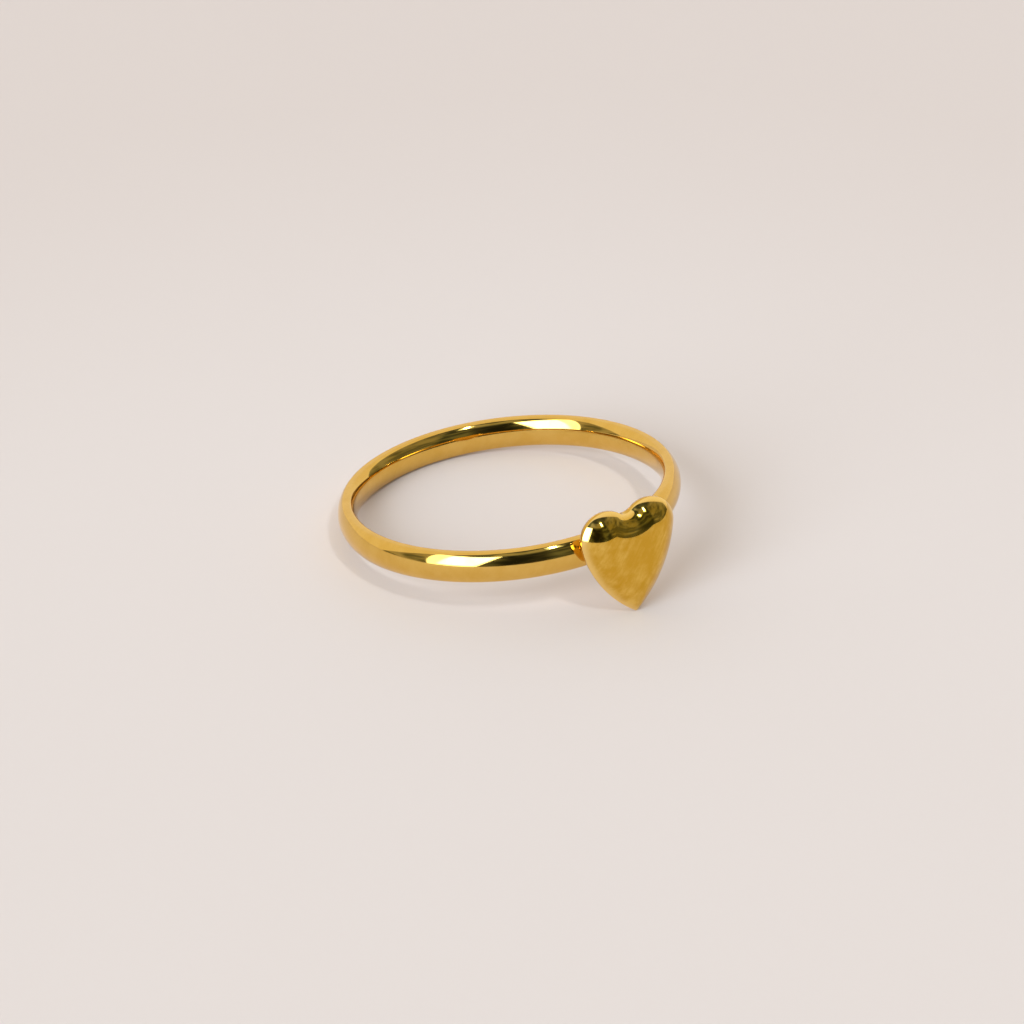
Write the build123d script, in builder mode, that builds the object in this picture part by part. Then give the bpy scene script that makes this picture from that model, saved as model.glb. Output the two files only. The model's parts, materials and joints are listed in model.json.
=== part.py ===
"""A finger ring of polished metal: a plain rounded band with a puffed heart on its front.

Band and heart are one piece of metal, so the ring is one solid. Each is drawn with the finger's axis along
Z and the heart facing -Y, and the ring is then laid down as it rests by itself: the heart is taller than
the band is wide, so its point props up the front, and the band touches the ground only at the back. The
origin is on the ground, under the middle of the ring. All sizes are in millimetres.
"""

import os
from math import acos, asin, atan2, degrees, hypot, sin

from build123d import *

# Band, seen in section: crowned outside and inside, with a narrow straight land in the bore. The crowns end
# at two shoulders on each side, which are then rounded so far that a narrow flat is left between them.
bore_diameter = 17.3
band_thickness = 1.12
band_width = 1.8
bore_land_width = 0.3
shoulder_spacing = 0.24
band_side_flat = 0.047

# Heart outline: two round lobes above, each reaching a little past the heart's middle, and two long arcs
# from the lobes down to the point
heart_width = 5.98
lobe_overlap = 0.2
lobe_height = 0.85
flank_start_angle = -11.0
heart_point_drop = 3.99
notch_radius = 0.55
point_radius = 0.15

# Heart depth: both faces swell from a thin rim, and the back one sinks into the band. On each lobe a small
# round flat is left inside the swell.
back_lobe_flat_radius = 0.095
front_lobe_flat_radius = 0.295
back_swell_depth = 0.98
heart_rim = 0.07
heart_sink = 0.17

# The heart isn't quite square to the band: it is turned about the upright line through its rim
heart_turn_angle = 7.7

# Closer than this, two places count as the same
same_place = 1e-5

bore_radius = bore_diameter / 2
band_outer_radius = bore_radius + band_thickness
band_middle_radius = bore_radius + band_thickness / 2
lobe_radius = (heart_width / 2 + lobe_overlap) / 2
lobe_offset = heart_width / 2 - lobe_radius
back_swell_reach = lobe_radius - back_lobe_flat_radius
front_swell_reach = lobe_radius - front_lobe_flat_radius
rim_distance = band_outer_radius - heart_sink + back_swell_depth

# Rounded shoulders: a crown's rise and its half width give its slope at the shoulder, and so how far along
# the side a round of radius one reaches
crown_rise = (band_thickness - shoulder_spacing) / 2
outer_crown_half = band_width / 2
inner_crown_half = (band_width - bore_land_width) / 2
outer_round_reach = (outer_crown_half - crown_rise) / (outer_crown_half + crown_rise)
inner_round_reach = (inner_crown_half - crown_rise) / (inner_crown_half + crown_rise)
band_edge_radius = (shoulder_spacing - band_side_flat) / (outer_round_reach + inner_round_reach)

# Band: the section turned about the finger's axis
with BuildPart() as band:
    with BuildSketch(Plane.XZ) as band_section:
        with BuildLine():
            inner_shoulder = band_middle_radius - shoulder_spacing / 2
            outer_shoulder = band_middle_radius + shoulder_spacing / 2
            side = band_width / 2
            land_end = bore_land_width / 2
            ThreePointArc((outer_shoulder, side), (band_outer_radius, 0), (outer_shoulder, -side))
            Line((outer_shoulder, -side), (inner_shoulder, -side))
            TangentArc((bore_radius, -land_end), (inner_shoulder, -side), tangent=(0, -1))
            Line((bore_radius, -land_end), (bore_radius, land_end))
            TangentArc((bore_radius, land_end), (inner_shoulder, side), tangent=(0, 1))
            Line((inner_shoulder, side), (outer_shoulder, side))
        make_face()
        shoulders = band_section.vertices().filter_by(lambda corner: abs(abs(corner.Y) - side) < same_place)
        fillet(shoulders, band_edge_radius)
    revolve(axis=Axis.Z)

# Heart: its faces reach further inwards than they swell. They are cut as round edges on a thicker heart,
# which is then pressed flat by this share.
flattening = back_swell_depth / back_swell_reach
rounded_depth = back_swell_reach + heart_rim / flattening + front_swell_reach

with BuildPart() as heart:
    with BuildSketch(Plane.XZ) as heart_outline:
        with BuildLine() as half_outline:
            notch_angle = degrees(acos(-lobe_offset / lobe_radius))
            lobe_sweep = flank_start_angle - notch_angle
            lobe = CenterArc((lobe_offset, lobe_height), lobe_radius, notch_angle, lobe_sweep)
            flank = TangentArc(lobe @ 1, (0, -heart_point_drop), tangent=lobe % 1)
            mirror(half_outline.line, about=Plane.YZ)
        make_face()
        middle_corners = heart_outline.vertices().filter_by(lambda corner: abs(corner.X) < same_place)
        fillet(middle_corners.sort_by(Axis.Y)[-1], notch_radius)
    extrude(amount=rounded_depth)
    fillet(heart.faces().sort_by(Axis.Y)[0].edges(), front_swell_reach)
    fillet(heart.faces().sort_by(Axis.Y)[-1].edges(), back_swell_reach)
    middle_edges = heart.edges().filter_by(
        lambda edge: max(abs((edge @ share).X) for share in (0, 0.5, 1)) < same_place
    )
    fillet(middle_edges.filter_by(lambda edge: edge.center().Z < 0), point_radius)
    scale(by=(1, flattening, 1))

# Rest: seen from the side, the ground is the straight line that touches the band's lower back shoulder,
# which is round, and the back end of the rim at the heart's point.
rounds = band_section.edges().filter_by(GeomType.CIRCLE)
shoulder_rounds = rounds.filter_by(lambda edge: abs(edge.radius - band_edge_radius) < same_place)
back_round = shoulder_rounds.sort_by(lambda edge: edge.arc_center.X - edge.arc_center.Y)[-1].arc_center
point_half_angle = atan2(abs((flank % 1).X), abs((flank % 1).Y))
point_cut_back = point_radius * (1 / sin(point_half_angle) - 1)
rest_length = back_round.X + rim_distance
rest_rise = back_round.Y + heart_point_drop - point_cut_back
rest_tilt = degrees(
    atan2(rest_rise, rest_length) - asin(band_edge_radius / hypot(rest_rise, rest_length))
)

with BuildPart() as tilted_ring:
    with Locations(Rotation(-rest_tilt, 0, 0)):
        add(band.part)
        with Locations(Location((0, -rim_distance, 0), (0, 0, -heart_turn_angle))):
            with Locations((0, back_swell_depth, 0)):
                add(heart.part)

footprint = tilted_ring.part.bounding_box()

with BuildPart() as heart_ring:
    with Locations((0, -footprint.center().Y, -footprint.min.Z)):
        add(tilted_ring.part)

os.makedirs("parts", exist_ok=True)
heart_ring.part.label = "heart_ring"
export_step(heart_ring.part, "parts/heart_ring.step")
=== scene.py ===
"""Looks of a slim polished finger ring with a puffed heart, lying by itself on a pale surface.

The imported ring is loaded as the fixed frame. Its band and its heart are worked out again here as fine
surfaces, from the same sizes and in the same place, so that the polish mirrors its surroundings without
facets. Shapes are reckoned in millimetres with the finger's axis along Z and the heart facing -Y, and are
then laid down as the ring rests and written into the meshes in metres.
"""

from __future__ import annotations

import json
import logging
import math
from dataclasses import dataclass, field
from enum import Enum
from typing import Union

import bpy
import numpy as np
from mathutils import Matrix, Vector

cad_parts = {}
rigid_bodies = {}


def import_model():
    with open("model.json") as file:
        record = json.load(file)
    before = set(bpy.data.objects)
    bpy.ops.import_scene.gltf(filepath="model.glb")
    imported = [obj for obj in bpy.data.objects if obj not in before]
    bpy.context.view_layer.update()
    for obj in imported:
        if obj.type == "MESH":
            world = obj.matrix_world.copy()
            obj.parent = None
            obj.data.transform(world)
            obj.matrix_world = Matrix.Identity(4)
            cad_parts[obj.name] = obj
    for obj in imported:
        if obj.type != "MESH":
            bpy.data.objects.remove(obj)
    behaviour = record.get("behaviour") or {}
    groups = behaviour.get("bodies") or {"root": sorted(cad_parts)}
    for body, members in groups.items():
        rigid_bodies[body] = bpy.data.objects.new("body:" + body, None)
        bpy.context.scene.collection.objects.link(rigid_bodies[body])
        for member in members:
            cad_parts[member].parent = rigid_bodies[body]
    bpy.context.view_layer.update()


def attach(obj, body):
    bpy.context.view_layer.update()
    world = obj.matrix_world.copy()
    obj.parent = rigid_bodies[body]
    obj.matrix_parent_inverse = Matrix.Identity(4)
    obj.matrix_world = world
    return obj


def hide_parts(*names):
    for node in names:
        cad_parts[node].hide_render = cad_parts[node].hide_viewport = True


for leftover in list(bpy.data.objects):
    bpy.data.objects.remove(leftover)
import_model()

LOG = logging.getLogger("heart_ring")
NODE = "heart_ring"
BODY = "root"
METRES_PER_MM = 0.001
# Mesh attribute for the painted highlight along the heart's front rim.
RIM_HIGHLIGHT_SHARE = "rim_highlight_share"
QUARTER_TURN = math.pi / 2
FULL_TURN = 2 * math.pi

Array = np.ndarray
Pair = tuple[float, float]
Triple = tuple[float, float, float]
Colour = Triple
Socket = bpy.types.NodeSocket
Value = Union[Socket, float, Triple]


# ---------------------------------------------------------------- surfaces


def arc(centre: Pair, radius: float, start: float, end: float, count: int) -> Array:
    """Points on a circular arc: the centre plus the radius times (cosine, sine) of evenly spaced angles.

    Args:
        centre: The arc's centre.
        radius: The arc's radius.
        start: First angle in radians.
        end: Last angle in radians, which is left out so that arcs can be joined.
        count: Number of points.

    Returns:
        Array of shape (count, 2).
    """
    turn = np.linspace(start, end, count, endpoint=False)
    return np.column_stack((centre[0] + radius * np.cos(turn), centre[1] + radius * np.sin(turn)))


def arc_rows(
    centre: tuple[Array | float, Array | float],
    radius: Array,
    start: Array | float,
    end: Array | float,
    count: int,
) -> tuple[Array, Array]:
    """An arc for each row at once: each centre plus its radius times (cosine, sine) of even angles.

    A centre, a start or an end is one number for all rows, or an array of shape (rows, 1).

    Args:
        centre: The arcs' centres, across and up.
        radius: The arcs' radii, shape (rows, 1).
        start: First angles in radians.
        end: Last angles in radians, which are left out so that arcs can be joined.
        count: Number of points in a row.

    Returns:
        Two arrays of shape (rows, count): places across and up.
    """
    turn = start + (end - start) * np.linspace(0.0, 1.0, count, endpoint=False)[None, :]
    return centre[0] + radius * np.cos(turn), centre[1] + radius * np.sin(turn)


def ladder(start: Pair, end: Pair, count: int) -> Array:
    """Evenly spaced points on a straight line, without its end.

    Args:
        start: First point.
        end: Where the line ends, left out so that lines can be joined.
        count: Number of points.

    Returns:
        Array of shape (count, 2).
    """
    share = np.linspace(0.0, 1.0, count, endpoint=False)[:, None]
    return np.asarray(start) * (1 - share) + np.asarray(end) * share


def grid_quads(rows: int, columns: int, rows_closed: bool) -> Array:
    """Corner numbers of the quads of a grid whose columns close on themselves.

    Vertex number = row * columns + column. Each quad joins a row to the next one.

    Args:
        rows: Number of rows.
        columns: Number of columns.
        rows_closed: Whether the last row joins the first one.

    Returns:
        Integer array of shape (quads, 4).
    """
    row = np.arange(rows if rows_closed else rows - 1)[:, None]
    column = np.arange(columns)[None, :]
    next_row, next_column = (row + 1) % rows, (column + 1) % columns
    corners = (
        row * columns + column,
        row * columns + next_column,
        next_row * columns + next_column,
        next_row * columns + column,
    )
    return np.stack([np.broadcast_to(c, (row.size, columns)) for c in corners], -1).reshape(-1, 4)


def fan(pole: int, first: int, columns: int, forwards: bool) -> Array:
    """Corner numbers of the triangles that close a grid's end row onto one pole vertex.

    Args:
        pole: Number of the pole vertex.
        first: Number of the row's first vertex.
        columns: Number of vertices in the row.
        forwards: Whether the triangles run the way the columns do.

    Returns:
        Integer array of shape (columns, 3).
    """
    column = np.arange(columns)
    pair = (first + column, first + (column + 1) % columns)
    ends = pair if forwards else pair[::-1]
    return np.stack((np.full(columns, pole), *ends), -1)


def make_piece(name: str, points: Array, faces: list[list[int]]) -> bpy.types.Object:
    """A smooth mesh object at the origin, from vertex places in metres.

    Args:
        name: Object and mesh name.
        points: Array of shape (vertices, 3).
        faces: Corner numbers of each face.

    Returns:
        The linked object.
    """
    mesh = bpy.data.meshes.new(name)
    mesh.from_pydata(points.tolist(), [], faces)
    mesh.shade_smooth()
    mesh.update()
    piece = bpy.data.objects.new(name, mesh)
    bpy.context.scene.collection.objects.link(piece)
    return piece


# ---------------------------------------------------------------- ring


@dataclass
class Band:
    """The plain band: a crowned section with rounded shoulders, turned about the finger's axis."""

    bore_diameter: float = 17.3
    thickness: float = 1.12
    width: float = 1.8
    outer_crown: float = 1.30
    inner_crown: float = 1.35
    shoulder_radius: float = 0.25
    steps_around: int = 800
    outer_crown_steps: int = 18
    inner_crown_steps: int = 16
    shoulder_steps: int = 8
    side_steps: int = 2

    @property
    def bore_radius(self) -> float:
        """Radius of the finger hole."""
        return self.bore_diameter / 2

    @property
    def outer_radius(self) -> float:
        """Greatest radius of the band."""
        return self.bore_radius + self.thickness

    def outer_round(self) -> Pair:
        """Centre of the outer shoulder's round: one shoulder radius under the side and inside the crown.

        Returns:
            Its distance from the axis and its height.
        """
        height = self.width / 2 - self.shoulder_radius
        reach = math.sqrt((self.outer_crown - self.shoulder_radius) ** 2 - height**2)
        return self.outer_radius - self.outer_crown + reach, height

    def inner_round(self) -> Pair:
        """Centre of the inner shoulder's round: one shoulder radius under the side and inside the crown.

        Returns:
            Its distance from the axis and its height.
        """
        height = self.width / 2 - self.shoulder_radius
        reach = math.sqrt((self.inner_crown - self.shoulder_radius) ** 2 - height**2)
        return self.bore_radius + self.inner_crown - reach, height

    def section(self) -> Array:
        """Closed section as (distance from the axis, height): arcs and lines for the upper half, mirrored.

        Returns:
            Array of shape (points, 2), from the outermost point over the top and back underneath.
        """
        outer_centre = (self.outer_radius - self.outer_crown, 0.0)
        inner_centre = (self.bore_radius + self.inner_crown, 0.0)
        outer_round, inner_round = self.outer_round(), self.inner_round()
        outer_end = math.atan2(outer_round[1], outer_round[0] - outer_centre[0])
        inner_end = math.atan2(inner_round[1], inner_round[0] - inner_centre[0])
        top, round_radius = self.width / 2, self.shoulder_radius
        upper = np.concatenate(
            (
                arc(outer_centre, self.outer_crown, 0.0, outer_end, self.outer_crown_steps),
                arc(outer_round, round_radius, outer_end, QUARTER_TURN, self.shoulder_steps),
                ladder((outer_round[0], top), (inner_round[0], top), self.side_steps),
                arc(inner_round, round_radius, QUARTER_TURN, inner_end, self.shoulder_steps),
                arc(inner_centre, self.inner_crown, inner_end, math.pi, self.inner_crown_steps),
                [(self.bore_radius, 0.0)],
            )
        )
        lower = upper[1:-1][::-1] * (1, -1)
        return np.concatenate((upper, lower))

    def surface(self) -> tuple[Array, Array]:
        """The section turned about Z: (r cos a, r sin a, height), with its first row behind the heart.

        Returns:
            Vertex places in millimetres and the quads' corner numbers, turned to face outwards.
        """
        section = self.section()
        around = np.linspace(0.0, FULL_TURN, self.steps_around, endpoint=False)[:, None]
        angle = -QUARTER_TURN + around
        radius, height = section[:, 0][None, :], section[:, 1][None, :]
        level = np.broadcast_to(height, (angle.size, height.size))
        points = np.stack((radius * np.cos(angle), radius * np.sin(angle), level), -1).reshape(-1, 3)
        return points, grid_quads(self.steps_around, section.shape[0], rows_closed=True)[:, ::-1]

    def build(self, lie: Lie, finish: PolishedGold) -> bpy.types.Object:
        """Builds and dresses the band.

        Args:
            lie: How the ring rests.
            finish: The metal's finish.

        Returns:
            The band's object.
        """
        points, quads = self.surface()
        piece = make_piece("band", lie.place(points), quads.tolist())
        piece.data.materials.append(finish.material("gold_band"))
        return piece


@dataclass
class PuffedHeart:
    """The heart: an outline of arcs whose two faces swell from a thin rim, turned a little on the band."""

    width: float = 5.98
    lobe_overlap: float = 0.2
    lobe_height: float = 0.85
    flank_start_angle: float = -11.0
    point_drop: float = 3.99
    notch_radius: float = 0.55
    notch_fill: float = 1.35
    notch_fill_inset: float = 0.5
    point_radius: float = 0.15
    ridge_growth: float = 0.6
    back_reach: float = 1.5
    back_depth: float = 0.98
    front_reach: float = 1.51
    front_depth: float = 0.83
    front_fullness: float = 1.12
    face_crown: float = 0.01
    crown_radius: float = 0.7
    # How far in from the front rim the painted highlight reaches.
    rim_highlight_reach: float = 0.22
    face_centre_height: float = -0.35
    rim: float = 0.07
    sink: float = 0.17
    turn_angle: float = 7.7
    notch_steps: int = 20
    lobe_steps: int = 72
    flank_steps: int = 60
    point_steps: int = 14
    back_steps: int = 36
    front_steps: int = 64
    face_steps: int = 22

    @property
    def lobe_radius(self) -> float:
        """Radius of each lobe: both lobes overlap in the middle."""
        return (self.width / 2 + self.lobe_overlap) / 2

    def rim_distance(self, band: Band) -> float:
        """How far in front of the finger's axis the back end of the rim lies."""
        return band.outer_radius - self.sink + self.back_depth

    def flank_arc(self) -> tuple[Array, float]:
        """The long arc from a lobe to the point, which leaves the lobe smoothly.

        With d from the lobe's end to the point and n outwards there: radius = -|d|^2 / (2 d . n), and
        the centre is the lobe's end less the radius times n.

        Returns:
            The arc's centre, across and up, and its radius.
        """
        lobe_end = math.radians(self.flank_start_angle)
        outward = np.array((math.cos(lobe_end), math.sin(lobe_end)))
        lobe_centre = np.array((self.width / 2 - self.lobe_radius, self.lobe_height))
        joint = lobe_centre + self.lobe_radius * outward
        to_point = np.array((0.0, -self.point_drop)) - joint
        radius = -(to_point @ to_point) / (2 * (to_point @ outward))
        return joint - radius * outward, radius

    def inset_outline(self, inset: Array) -> tuple[Array, Array]:
        """The outline drawn in by a distance: each arc keeps its centre, and its radius changes by the inset.

        The right half runs over the notch's arc, the lobe, the flank and the round at the point. Lobe and
        flank: radius - inset. Notch: radius + inset + fill (1 - exp(-inset / fill inset)) (1 - (inset /
        front reach)^2). Point: radius + a share of the inset. The arcs of notch and point keep touching
        the curves beside them, so their centres lie on the middle line: the notch's at the distance lobe
        radius - inset + notch arc from the lobe's centre, and the point's at the distance flank radius -
        inset - round from the flank's centre.

        Args:
            inset: Distances inwards, shape (rows,).

        Returns:
            Two arrays of shape (rows, columns): places across and up, clockwise from the notch.
        """
        inset = np.asarray(inset, float)[:, None]
        lobe_round = self.lobe_radius - inset
        across, up = self.width / 2 - self.lobe_radius, self.lobe_height
        fill = (1 - np.exp(-inset / self.notch_fill_inset)) * (1 - (inset / self.front_reach) ** 2)
        notch_round = self.notch_radius + inset + self.notch_fill * fill
        notch_up = up + np.sqrt((lobe_round + notch_round) ** 2 - across**2)
        lobe_start = np.arctan2(notch_up - up, -across)
        lobe_end = math.radians(self.flank_start_angle)
        flank_centre, flank_radius = self.flank_arc()
        flank_round = flank_radius - inset
        point_round = self.point_radius + self.ridge_growth * inset
        point_up = flank_centre[1] - np.sqrt((flank_round - point_round) ** 2 - flank_centre[0] ** 2)
        flank_end = np.arctan2(point_up - flank_centre[1], -flank_centre[0])
        runs = (
            arc_rows((0.0, notch_up), notch_round, -QUARTER_TURN, lobe_start - math.pi, self.notch_steps),
            arc_rows((across, up), lobe_round, lobe_start, lobe_end, self.lobe_steps),
            arc_rows(flank_centre, flank_round, lobe_end, flank_end, self.flank_steps),
            arc_rows((0.0, point_up), point_round, flank_end, -QUARTER_TURN, self.point_steps),
        )
        point_z = point_up - point_round
        half_x = np.concatenate([x for x, _ in runs] + [np.zeros_like(point_z)], 1)
        half_z = np.concatenate([z for _, z in runs] + [point_z], 1)
        return (
            np.concatenate((half_x, -half_x[:, -2:0:-1]), 1),
            np.concatenate((half_z, half_z[:, -2:0:-1]), 1),
        )

    def swells(self) -> tuple[Array, Array]:
        """Inset and depth of each row from the back face over the rim to the front face.

        Back: inset = reach (1 - cos t), depth = back depth (1 - sin t), t falling from a right angle to 0.
        Front: with u = 1 - inset / reach, rise = front depth (1 - u^2)^(1 / fullness).

        Returns:
            Two arrays of shape (rows,), depth counted forwards from the back face.
        """
        turn = np.linspace(QUARTER_TURN, 0.0, self.back_steps)
        back_inset = self.back_reach * (1 - np.cos(turn))
        back_depth = self.back_depth * (1 - np.sin(turn))
        front_inset = self.front_reach * (1 - np.cos(np.linspace(0.0, QUARTER_TURN, self.front_steps)))
        share = 1 - front_inset / self.front_reach
        rise = self.front_depth * (1 - share**2) ** (1 / self.front_fullness)
        return (
            np.concatenate((back_inset, front_inset)),
            np.concatenate((back_depth, self.back_depth + self.rim + rise)),
        )

    def rim_highlight_share(self) -> Array:
        """How near each vertex lies to the front rim, for a painted highlight there: exp(-(inset / highlight
        reach)^2), and 0 on the back.

        Returns:
            Array of shape (vertices,) in the order of the surface's vertices.
        """
        inset, _ = self.swells()
        on_front = np.arange(inset.size) >= self.back_steps
        swell = np.where(on_front, np.exp(-((inset / self.rim_highlight_reach) ** 2)), 0.0)
        face = np.zeros(self.face_steps - 1)
        columns = self.inset_outline(np.zeros(1))[0].shape[1]
        poles = np.zeros(2)
        return np.concatenate((np.repeat(np.concatenate((face, swell, face)), columns), poles))

    def grid(self) -> tuple[Array, Array, Array]:
        """Rows of inset outlines from the back face's middle over the rim to the front face's middle.

        The swells' innermost outlines shrink straight onto the middle. Around it the front face rises by
        face crown (1 - (distance / crown radius)^2)^2.

        Returns:
            Three arrays of shape (rows, columns): places across, depth from the back face, places up.
        """
        inset, depth = self.swells()
        share = np.linspace(1.0, 0.0, self.face_steps, endpoint=False)[1:]
        x, z = self.inset_outline(inset)
        middle = self.face_centre_height

        def face(row: int) -> tuple[Array, Array]:
            """An outline shrunk by each share onto the middle."""
            return share[:, None] * x[row], middle + share[:, None] * (z[row] - middle)

        (back_x, back_z), (front_x, front_z) = face(0), face(-1)
        closeness = 1 - (front_x**2 + (front_z - middle) ** 2) / self.crown_radius**2
        crown = self.face_crown * np.maximum(closeness, 0.0) ** 2
        swell_depth = np.broadcast_to(depth[:, None], x.shape)
        return (
            np.concatenate((back_x[::-1], x, front_x)),
            np.concatenate((np.zeros_like(back_x), swell_depth, depth[-1] + crown)),
            np.concatenate((back_z[::-1], z, front_z)),
        )

    def surface(self, band: Band) -> tuple[Array, list[list[int]]]:
        """The grid closed by a pole on each face, turned about the upright line through its rim.

        With f = depth - back depth and turn a: across = x cos a - f sin a, and ahead = x sin a + f cos a
        in front of the back end of the rim.

        Args:
            band: The band that it is soldered to.

        Returns:
            Vertex places in millimetres and the faces' corner numbers, turned to face outwards.
        """
        across, depth, up = self.grid()
        rows, columns = depth.shape
        middle = self.face_centre_height
        front_depth = self.swells()[1][-1] + self.face_crown
        x = np.append(across, (0.0, 0.0))
        forward = np.append(depth, (0.0, front_depth)) - self.back_depth
        height = np.append(up, (middle, middle))
        turn = math.radians(self.turn_angle)
        turned_x = x * math.cos(turn) - forward * math.sin(turn)
        ahead = x * math.sin(turn) + forward * math.cos(turn)
        points = np.column_stack((turned_x, -ahead - self.rim_distance(band), height))
        last = rows * columns
        faces = grid_quads(rows, columns, rows_closed=False)[:, ::-1].tolist()
        faces += fan(last, 0, columns, forwards=True).tolist()
        faces += fan(last + 1, (rows - 1) * columns, columns, forwards=False).tolist()
        return points, faces

    def build(self, band: Band, lie: Lie, finish: PolishedGold) -> bpy.types.Object:
        """Builds and dresses the heart on the front of the band.

        Args:
            band: The band that it is soldered to.
            lie: How the ring rests.
            finish: The metal's finish.

        Returns:
            The heart's object.
        """
        points, faces = self.surface(band)
        piece = make_piece("puffed_heart", lie.place(points), faces)
        # The share of the painted highlight along the front rim, read by the gold's colour.
        shares = piece.data.attributes.new(RIM_HIGHLIGHT_SHARE, "FLOAT", "POINT")
        shares.data.foreach_set("value", self.rim_highlight_share().astype(np.float32))
        piece.data.materials.append(finish.material("gold_heart"))
        return piece


@dataclass
class Lie:
    """How the ring rests: tilted until the heart's point and the band's back both touch the floor."""

    band: Band
    heart: PuffedHeart
    matrix: Array = field(init=False)
    shift: Array = field(init=False)

    def __post_init__(self) -> None:
        """Works out the tilt's matrix, and the move that centres the tilted ring and puts it on the floor."""
        tilt = self.tilt()
        self.matrix = np.array(
            ((1, 0, 0), (0, math.cos(tilt), math.sin(tilt)), (0, -math.sin(tilt), math.cos(tilt)))
        )
        both = np.concatenate((self.heart.surface(self.band)[0], self.band.surface()[0])) @ self.matrix.T
        low, high = both.min(0), both.max(0)
        self.shift = np.array((0.0, -(low[1] + high[1]) / 2, -low[2]))

    def tilt(self) -> float:
        """Angle between the finger's axis and the upright.

        The floor is the line that touches the round of the band's lower back shoulder and the back end of
        the rim at the heart's point: the slope from one to the other less the angle that the round takes.

        Returns:
            The angle in radians.
        """
        _, tip = self.heart.inset_outline(np.zeros(1))
        round_reach, round_height = self.band.outer_round()
        run = round_reach + self.heart.rim_distance(self.band)
        drop = -float(tip.min()) - round_height
        return math.atan2(drop, run) - math.asin(self.band.shoulder_radius / math.hypot(drop, run))

    def place(self, points: Array) -> Array:
        """Turns points of the upright ring to the resting one and onto the CAD's place.

        Args:
            points: Places in millimetres, with the finger's axis along Z.

        Returns:
            Places in metres in the shared frame.
        """
        return (points @ self.matrix.T + self.shift) * METRES_PER_MM


# ---------------------------------------------------------------- finishes


@dataclass(frozen=True)
class Noise:
    """Fractal noise: features per unit, finer layers added, and how much each finer layer counts."""

    scale: float
    detail: float
    roughness: float


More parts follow.
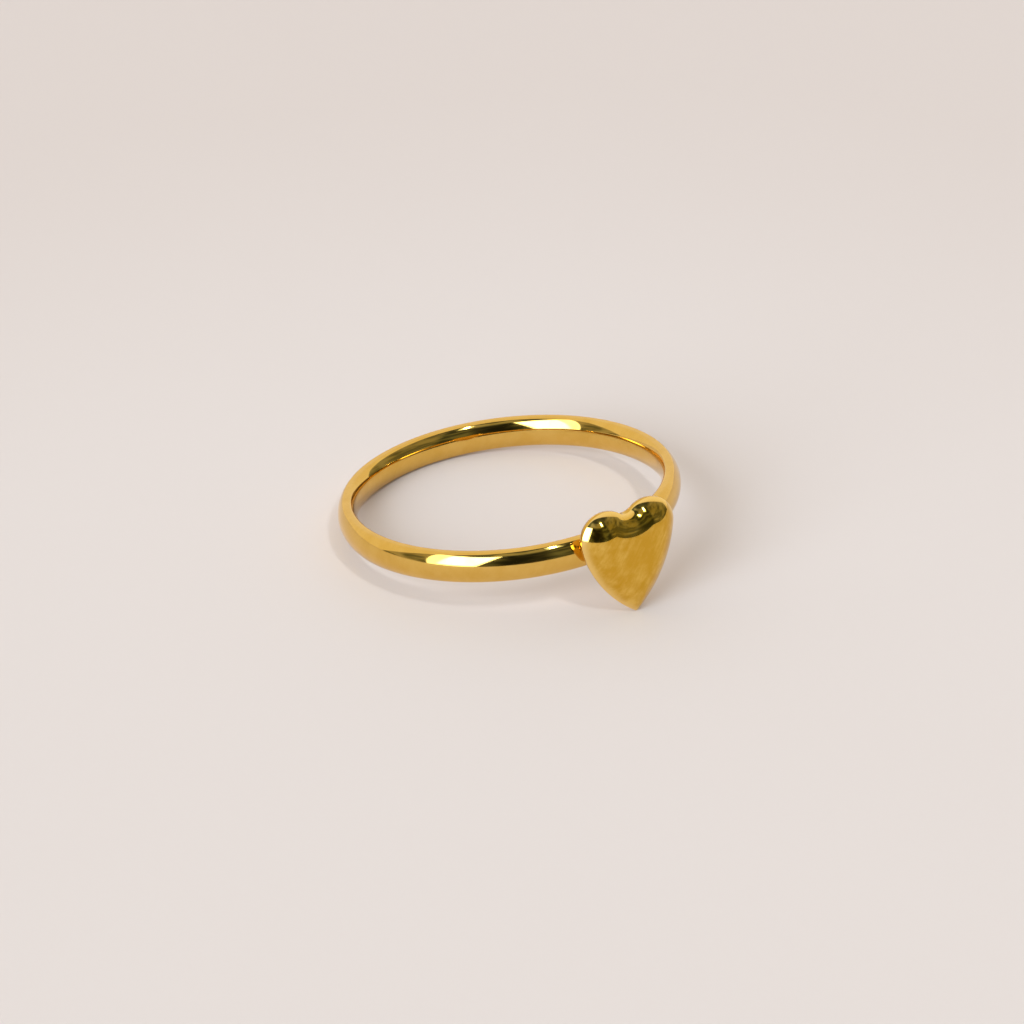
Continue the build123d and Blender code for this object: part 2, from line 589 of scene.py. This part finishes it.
class NodeSheet:
    """Adds shader nodes to a node tree by short calls."""

    def __init__(self, tree: bpy.types.NodeTree) -> None:
        """Starts on an emptied node tree."""
        self.tree = tree
        tree.nodes.clear()

    def node(self, kind: str, **settings: str | bool) -> bpy.types.Node:
        """Adds a node and sets its properties.

        Args:
            kind: Blender's node type.
            **settings: Property names and values.

        Returns:
            The node.
        """
        made = self.tree.nodes.new(kind)
        for name, value in settings.items():
            setattr(made, name, value)
        return made

    def plug(self, socket: Socket, value: Value) -> None:
        """Links an output to an input socket, or sets the socket when the value is a plain one.

        Args:
            socket: The input socket.
            value: An output, or the number or numbers to set.
        """
        if isinstance(value, Socket):
            self.tree.links.new(value, socket)
        else:
            socket.default_value = value

    def maths(self, operation: str, *values: Value, clamp: bool = False) -> Socket:
        """A Math node's output.

        Args:
            operation: The Math node's operation.
            *values: Its inputs in order, numbers or outputs.
            clamp: Whether the result is kept from 0 to 1.

        Returns:
            The result's socket.
        """
        made = self.node("ShaderNodeMath", operation=operation, use_clamp=clamp)
        for socket, value in zip(made.inputs, values):
            self.plug(socket, value)
        return made.outputs[0]

    def measure(self, operation: str, place: Socket, other: Triple) -> Socket:
        """A Vector Math node's number, such as the distance or the dot product of two places.

        Args:
            operation: The Vector Math node's operation.
            place: The first place's output.
            other: The second place.

        Returns:
            The number's socket.
        """
        made = self.node("ShaderNodeVectorMath", operation=operation)
        self.plug(made.inputs[0], place)
        self.plug(made.inputs[1], other)
        return made.outputs["Value"]

    def split(self, place: Socket) -> tuple[Socket, Socket, Socket]:
        """The X, Y and Z of a place."""
        made = self.node("ShaderNodeSeparateXYZ")
        self.plug(made.inputs[0], place)
        return made.outputs["X"], made.outputs["Y"], made.outputs["Z"]

    def ease(self, value: Value, low: float, high: float) -> Socket:
        """A smooth step from 0 at low to 1 at high.

        Args:
            value: The number that is compared.
            low: Where the step starts.
            high: Where the step ends.

        Returns:
            The step's socket.
        """
        made = self.node("ShaderNodeMapRange", interpolation_type="SMOOTHSTEP")
        self.plug(made.inputs["Value"], value)
        self.plug(made.inputs["From Min"], low)
        self.plug(made.inputs["From Max"], high)
        return made.outputs["Result"]

    def span(self, value: Value, limits: Pair, results: Pair) -> Socket:
        """A straight rescale of one range to another, clamped.

        Args:
            value: The number that is rescaled.
            limits: Its lowest and highest value.
            results: The results at these two.

        Returns:
            The result's socket.
        """
        made = self.node("ShaderNodeMapRange")
        self.plug(made.inputs["Value"], value)
        for name, number in zip(("From Min", "From Max", "To Min", "To Max"), (*limits, *results)):
            self.plug(made.inputs[name], number)
        return made.outputs["Result"]

    def blend(self, share: Value, first: Value, second: Value) -> Socket:
        """A colour mix from first at 0 to second at 1.

        Args:
            share: How much of the second colour is taken.
            first: The first colour.
            second: The second colour.

        Returns:
            The mixed colour's socket.
        """
        made = self.node("ShaderNodeMix", data_type="RGBA")
        self.plug(made.inputs["Factor"], share)
        colours = [socket for socket in made.inputs if socket.type == "RGBA"]
        for socket, value in zip(colours, (first, second)):
            self.plug(socket, value if isinstance(value, Socket) else (*value, 1.0))
        return [socket for socket in made.outputs if socket.type == "RGBA"][0]

    def noise(self, place: Socket, noise: Noise) -> Socket:
        """Fractal noise from 0 to 1 at a place.

        Args:
            place: The place's output.
            noise: The noise's settings.

        Returns:
            The noise's socket.
        """
        made = self.node("ShaderNodeTexNoise")
        self.plug(made.inputs["Vector"], place)
        self.plug(made.inputs["Scale"], noise.scale)
        self.plug(made.inputs["Detail"], noise.detail)
        self.plug(made.inputs["Roughness"], noise.roughness)
        return made.outputs["Fac"]

    def mapping(self, place: Socket, scale: Triple, turn: Triple = (0.0, 0.0, 0.0)) -> Socket:
        """A place turned, then scaled.

        Args:
            place: The place's output.
            scale: Features per unit along each axis.
            turn: Angles in degrees.

        Returns:
            The new place's socket.
        """
        made = self.node("ShaderNodeMapping", vector_type="TEXTURE")
        self.plug(made.inputs["Vector"], place)
        self.plug(made.inputs["Rotation"], [math.radians(a) for a in turn])
        self.plug(made.inputs["Scale"], [1 / s for s in scale])
        return made.outputs["Vector"]

    def bump(self, height: Socket, distance: float, normal: Socket | None = None) -> Socket:
        """A normal tipped by a height map.

        Args:
            height: The height's output, from 0 to 1.
            distance: The height in metres that 1 stands for.
            normal: The normal that is tipped, or None for the surface's own.

        Returns:
            The normal's socket.
        """
        made = self.node("ShaderNodeBump")
        self.plug(made.inputs["Distance"], distance)
        self.plug(made.inputs["Height"], height)
        if normal is not None:
            self.plug(made.inputs["Normal"], normal)
        return made.outputs["Normal"]

    def dress(self, colour: Socket, normal: Socket, **settings: Value) -> None:
        """Adds the surface shader and the material's output.

        Args:
            colour: The base colour's output.
            normal: The normal's output.
            **settings: Other inputs of the shader, with underscores for the spaces in their names.
        """
        shader = self.node("ShaderNodeBsdfPrincipled")
        self.plug(shader.inputs["Base Color"], colour)
        self.plug(shader.inputs["Normal"], normal)
        for name, value in settings.items():
            self.plug(shader.inputs[name.replace("_", " ")], value)
        output = self.node("ShaderNodeOutputMaterial")
        self.plug(output.inputs["Surface"], shader.outputs["BSDF"])


def new_material(name: str) -> tuple[bpy.types.Material, NodeSheet]:
    """A material with an empty node tree.

    Args:
        name: The material's name.

    Returns:
        The material and the sheet that adds its nodes.
    """
    made = bpy.data.materials.new(name)
    made.use_nodes = True
    return made, NodeSheet(made.node_tree)


@dataclass(frozen=True)
class PolishedGold:
    """Mirror-polished gold colour: faint mottling, polishing marks and a slightly uneven surface.

    The colour deepens with the height above the floor by a set share, as painted shade, and is paler where a
    mesh has the attribute that marks its front rim, as a painted highlight. Lengths are in metres.
    """

    light_colour: Colour = (0.79, 0.500, 0.122)
    deep_colour: Colour = (0.74, 0.450, 0.092)
    # Paler gold of the painted highlight along a marked rim.
    rim_highlight_colour: Colour = (0.93, 0.64, 0.21)
    tint_limits: Pair = (0.32, 0.68)
    mottle: Noise = Noise(900.0, 4.0, 0.6)
    mark_tint: float = 0.25
    # Painted shade: how much deeper the colour gets higher above the floor, between the two heights that
    # follow.
    upper_shade: float = 0.0
    upper_shade_heights: Pair = (0.0008, 0.0042)
    roughness: Pair = (0.035, 0.085)
    waves: Noise = Noise(420.0, 1.0, 0.4)
    wave_height: float = 2.0e-6
    marks: Noise = Noise(1.0, 3.0, 0.6)
    mark_limits: Pair = (0.3, 0.7)
    mark_scale: Triple = (3500.0, 3500.0, 300.0)
    mark_turn: Triple = (0.0, 28.0, 0.0)
    mark_height: float = 2.0e-7

    def material(self, name: str) -> bpy.types.Material:
        """Makes the node material.

        Args:
            name: The material's name.

        Returns:
            The material.
        """
        made, sheet = new_material(name)
        place = sheet.node("ShaderNodeTexCoord").outputs["Object"]
        mottle = sheet.noise(place, self.mottle)
        marks = sheet.noise(sheet.mapping(place, self.mark_scale, self.mark_turn), self.marks)
        plain = sheet.maths("MULTIPLY", mottle, 1 - self.mark_tint)
        tint = sheet.maths("MULTIPLY_ADD", marks, self.mark_tint, plain)
        # Deeper colour higher above the floor is painted shade.
        height = sheet.split(place)[2]
        depth = sheet.span(height, self.upper_shade_heights, (0.0, self.upper_shade))
        share = sheet.ease(sheet.maths("ADD", tint, depth), *self.tint_limits)
        colour = sheet.blend(share, self.light_colour, self.deep_colour)
        # Paler gold where the mesh marks its rim is a painted highlight.
        edge = sheet.node("ShaderNodeAttribute", attribute_name=RIM_HIGHLIGHT_SHARE).outputs["Fac"]
        wavy = sheet.bump(sheet.noise(place, self.waves), self.wave_height)
        sheet.dress(
            sheet.blend(edge, colour, self.rim_highlight_colour),
            sheet.bump(marks, self.mark_height, wavy),
            Metallic=1.0,
            Roughness=sheet.span(marks, self.mark_limits, self.roughness),
        )
        return made


BAND_GOLD = PolishedGold()
# The heart's gold: deeper than the band's, partly as painted shade for the shadowed floor that its face
# mirrors, and with painted shade higher up.
SHADED_HEART_GOLD = PolishedGold(
    light_colour=(0.84, 0.545, 0.115),
    deep_colour=(0.66, 0.370, 0.035),
    mottle=Noise(1100.0, 4.0, 0.6),
    mark_tint=0.35,
    upper_shade=0.08,
    mark_scale=(5200.0, 5200.0, 900.0),
    mark_turn=(0.0, 38.0, 0.0),
)


@dataclass(frozen=True)
class WarmPaper:
    """Pale matt paper: a faint cloud of tone, a little less light away from its front, and a fine grain.

    Lengths are in metres.
    """

    pale_colour: Colour = (0.729, 0.651, 0.643)
    shade_colour: Colour = (0.680, 0.594, 0.577)
    roughness: float = 0.9
    specular: float = 0.2
    cloud: Noise = Noise(60.0, 1.0, 0.5)
    cloud_share: float = 0.12
    shade_centre: Triple = (-0.0126, -0.0156, 0.0)
    shade_distances: Pair = (0.030, 0.085)
    grain: Noise = Noise(6000.0, 1.0, 0.6)
    grain_height: float = 4.0e-6

    def material(self, name: str) -> bpy.types.Material:
        """Makes the node material.

        Args:
            name: The material's name.

        Returns:
            The material.
        """
        made, sheet = new_material(name)
        place = sheet.node("ShaderNodeTexCoord").outputs["Object"]
        falloff = sheet.ease(sheet.measure("DISTANCE", place, self.shade_centre), *self.shade_distances)
        cloud = sheet.noise(place, self.cloud)
        clouded = sheet.maths("MULTIPLY_ADD", cloud, self.cloud_share, falloff, clamp=True)
        sheet.dress(
            sheet.blend(clouded, self.pale_colour, self.shade_colour),
            sheet.bump(sheet.noise(place, self.grain), self.grain_height),
            Roughness=self.roughness,
            Specular_IOR_Level=self.specular,
        )
        return made


# ---------------------------------------------------------------- studio


class Edge(Enum):
    """How softly a part of the surroundings ends, in degrees."""

    CRISP = 0.6
    SOFT = 4.0
    WIDE = 12.0


@dataclass(frozen=True)
class Side:
    """A part of the surroundings: a patch of directions with one brightness, or mottled with a second one.

    Azimuth is 0 towards the heart's side (-Y) and grows towards +X. Angles are in degrees. The spread is
    how far the azimuth's two ends move for each degree of elevation.
    """

    name: str
    azimuth: Pair
    elevation: Pair
    colour: Colour
    strength: float = 1.0
    edge: Edge = Edge.SOFT
    spread: Pair = (0.0, 0.0)
    clutter: Colour | None = None


SIDES = (
    Side(
        "room_left",
        azimuth=(-200.0, -92.0),
        elevation=(-30.0, 58.0),
        colour=(0.44, 0.42, 0.34),
        clutter=(0.15, 0.155, 0.11),
    ),
    Side(
        "room_right",
        azimuth=(14.0, 200.0),
        elevation=(-30.0, 60.0),
        colour=(0.34, 0.34, 0.27),
        edge=Edge.WIDE,
        clutter=(0.14, 0.15, 0.12),
    ),
    Side(
        "room_haze",
        azimuth=(-62.0, -16.0),
        elevation=(46.0, 60.0),
        colour=(0.42, 0.43, 0.35),
        clutter=(0.20, 0.21, 0.17),
    ),
    Side(
        "room_corner",
        azimuth=(-50.0, -14.0),
        elevation=(-14.0, 45.0),
        colour=(0.050, 0.055, 0.045),
        edge=Edge.WIDE,
        clutter=(0.016, 0.018, 0.016),
    ),
    Side(
        "window",
        azimuth=(-95.0, -62.0),
        elevation=(-1.0, 45.0),
        colour=(0.80, 0.92, 1.0),
        strength=3.2,
        edge=Edge.CRISP,
        spread=(-0.28, 0.22),
    ),
    Side(
        "window_core",
        azimuth=(-88.0, -64.0),
        elevation=(4.0, 43.0),
        colour=(0.79, 0.91, 1.0),
        strength=8.9,
        spread=(-0.10, 0.22),
    ),
    Side(
        "wall_right",
        azimuth=(82.0, 200.0),
        elevation=(-30.0, 60.0),
        colour=(0.95, 0.90, 0.84),
        edge=Edge.CRISP,
    ),
    Side(
        "lamp_glow",
        azimuth=(-15.0, -1.0),
        elevation=(48.5, 63.0),
        colour=(0.75, 0.93, 1.0),
        strength=2.0,
    ),
    Side(
        "lamp",
        azimuth=(-10.7, -5.3),
        elevation=(51.5, 60.0),
        colour=(0.95, 1.0, 1.0),
        strength=70.0,
        edge=Edge.CRISP,
    ),
)


@dataclass
class Studio:
    """Pale floor, in metres, and the plain surroundings that the metal mirrors."""

    floor_radius: float = 0.9
    floor_rings: int = 24
    floor_sectors: int = 96
    floor_crowding: int = 2
    paper: WarmPaper = field(default_factory=WarmPaper)
    backdrop_colour: Colour = (1.0, 0.93, 0.80)
    backdrop_strength: float = 0.95
    backdrop_axis: Triple = (0.300, 0.806, 0.510)
    backdrop_limit: float = 0.310
    backdrop_edge: float = 0.03
    room_colour: Colour = (0.17, 0.195, 0.15)
    room_clutter: Colour = (0.045, 0.054, 0.042)
    clutter: Noise = Noise(1.0, 2.0, 0.5)
    clutter_stretch: Triple = (2.6, 2.6, 6.0)
    clutter_limits: Pair = (0.36, 0.62)
    sides: tuple[Side, ...] = SIDES

    def build_floor(self) -> bpy.types.Object:
        """A flat disc of rings and sectors: (r cos a, r sin a, 0), with rings closer near the middle.

        Ring radius = floor radius times (ring / rings) to the power of the crowding.

        Returns:
            The floor's object.
        """
        share = np.linspace(0.0, 1.0, self.floor_rings + 1)[1:, None]
        radius = self.floor_radius * share**self.floor_crowding
        angle = np.linspace(0.0, FULL_TURN, self.floor_sectors, endpoint=False)[None, :]
        flat = np.zeros((self.floor_rings, self.floor_sectors))
        rings = np.stack((radius * np.cos(angle), radius * np.sin(angle), flat), -1).reshape(-1, 3)
        points = np.concatenate((rings, [(0.0, 0.0, 0.0)]))
        faces = grid_quads(self.floor_rings, self.floor_sectors, rows_closed=False)[:, ::-1].tolist()
        faces += fan(len(points) - 1, 0, self.floor_sectors, forwards=True).tolist()
        floor = make_piece("paper_floor", points, faces)
        floor.data.materials.append(self.paper.material("warm_paper"))
        return floor

    def build_surroundings(self) -> bpy.types.World:
        """The world: each side is mixed over the ones before it, and the backdrop over them all.

        Returns:
            The world.
        """
        world = bpy.data.worlds.new("plain_studio")
        bpy.context.scene.world = world
        world.use_nodes = True
        sheet = NodeSheet(world.node_tree)
        direction = sheet.node("ShaderNodeTexCoord").outputs["Generated"]
        azimuth, elevation = self.angles(sheet, direction)
        stretched = sheet.mapping(direction, self.clutter_stretch)
        clutter = sheet.ease(sheet.noise(stretched, self.clutter), *self.clutter_limits)
        light = sheet.blend(clutter, self.room_colour, self.room_clutter)
        for side in self.sides:
            colour = tuple(side.strength * c for c in side.colour)
            if side.clutter:
                colour = sheet.blend(clutter, colour, side.clutter)
            light = sheet.blend(self.side_share(sheet, side, azimuth, elevation), light, colour)
            LOG.info("%s: strength %g", side.name, side.strength)
        backdrop = tuple(self.backdrop_strength * c for c in self.backdrop_colour)
        light = sheet.blend(self.backdrop_share(sheet, direction), light, backdrop)
        background = sheet.node("ShaderNodeBackground")
        sheet.plug(background.inputs["Color"], light)
        output = sheet.node("ShaderNodeOutputWorld")
        sheet.plug(output.inputs["Surface"], background.outputs["Background"])
        return world

    def backdrop_share(self, sheet: NodeSheet, direction: Socket) -> Socket:
        """1 beyond the backdrop's plane, where direction . axis > limit, and 0 before it.

        Args:
            sheet: The node sheet.
            direction: The direction's output.

        Returns:
            The share's socket.
        """
        facing = sheet.measure("DOT_PRODUCT", direction, self.backdrop_axis)
        margin = self.backdrop_edge / 2
        return sheet.ease(facing, self.backdrop_limit - margin, self.backdrop_limit + margin)

    @staticmethod
    def angles(sheet: NodeSheet, direction: Socket) -> tuple[Socket, Socket]:
        """Azimuth = atan2(x, -y) and elevation = asin(z) of a direction, in degrees.

        Args:
            sheet: The node sheet.
            direction: The direction's output.

        Returns:
            The sockets of azimuth and elevation.
        """
        x, y, z = sheet.split(direction)
        azimuth = sheet.maths("ARCTAN2", x, sheet.maths("MULTIPLY", y, -1.0))
        return sheet.maths("DEGREES", azimuth), sheet.maths("DEGREES", sheet.maths("ARCSINE", z))

    @staticmethod
    def side_share(sheet: NodeSheet, side: Side, azimuth: Socket, elevation: Socket) -> Socket:
        """1 within a side's angles and 0 outside, with smooth edges.

        Args:
            sheet: The node sheet.
            side: The part of the surroundings.
            azimuth: The azimuth's output in degrees.
            elevation: The elevation's output in degrees.

        Returns:
            The share's socket.
        """
        across = [azimuth, azimuth]
        if any(side.spread):
            moves = [sheet.maths("MULTIPLY", elevation, by) for by in side.spread]
            across = [sheet.maths("SUBTRACT", azimuth, move) for move in moves]
        return sheet.maths(
            "MULTIPLY",
            Studio.between(sheet, across, side.azimuth, side.edge),
            Studio.between(sheet, [elevation, elevation], side.elevation, side.edge),
        )

    @staticmethod
    def between(sheet: NodeSheet, angles: list[Socket], limits: Pair, edge: Edge) -> Socket:
        """1 between two angles and 0 outside, with a smooth edge.

        Args:
            sheet: The node sheet.
            angles: The angle's outputs in degrees, as measured for the lower and for the upper limit.
            limits: Lowest and highest angle.
            edge: How softly it ends.

        Returns:
            The share's socket.
        """
        low, high = limits
        margin = edge.value / 2
        rising = sheet.ease(angles[0], low - margin, low + margin)
        falling = sheet.maths("SUBTRACT", 1.0, sheet.ease(angles[1], high - margin, high + margin))
        return sheet.maths("MULTIPLY", rising, falling)


@dataclass(frozen=True)
class PhotoCamera:
    """Camera at the photograph's angle: it aims at a point from an azimuth, an elevation and a distance.

    Angles are in degrees, places in metres, and lens and sensor in millimetres.
    """

    azimuth: float = -38.890
    elevation: float = 31.086
    roll: float = -0.885
    distance: float = 0.305294
    aim: Triple = (-0.000156, 0.000567, 0.001529)
    lens: float = 189.454
    sensor_width: float = 36.0

    def build(self) -> bpy.types.Object:
        """Makes the camera and sets it as the scene's camera.

        Returns:
            The camera's object.
        """
        data = bpy.data.cameras.new("photo_camera")
        data.lens = self.lens
        data.sensor_width = self.sensor_width
        camera = bpy.data.objects.new("photo_camera", data)
        bpy.context.scene.collection.objects.link(camera)
        turn, rise = math.radians(self.azimuth), math.radians(self.elevation)
        back = Vector((math.sin(turn) * math.cos(rise), -math.cos(turn) * math.cos(rise), math.sin(rise)))
        facing = (-back).to_track_quat("-Z", "Y").to_matrix().to_4x4()
        place = Matrix.Translation(Vector(self.aim) + self.distance * back)
        camera.matrix_world = place @ facing @ Matrix.Rotation(math.radians(self.roll), 4, "Z")
        bpy.context.scene.camera = camera
        return camera


# ---------------------------------------------------------------- whole scene


def main() -> None:
    """Builds the ring's pieces, the studio and the camera."""
    logging.basicConfig(level=logging.INFO, format="%(name)s: %(message)s")
    bpy.context.scene.view_settings.view_transform = "Standard"
    band, heart = Band(), PuffedHeart()
    lie = Lie(band, heart)
    LOG.info("tilt %.4f degrees", math.degrees(lie.tilt()))
    for piece in (band.build(lie, BAND_GOLD), heart.build(band, lie, SHADED_HEART_GOLD)):
        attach(piece, BODY)
        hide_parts(NODE)
        LOG.info("%s: %d faces", piece.name, len(piece.data.polygons))
    studio = Studio()
    floor = studio.build_floor()
    LOG.info("%s: %d faces", floor.name, len(floor.data.polygons))
    studio.build_surroundings()
    camera = PhotoCamera().build()
    LOG.info("%s at %s", camera.name, tuple(round(v, 4) for v in camera.location))


if __name__ == "__main__":
    main()
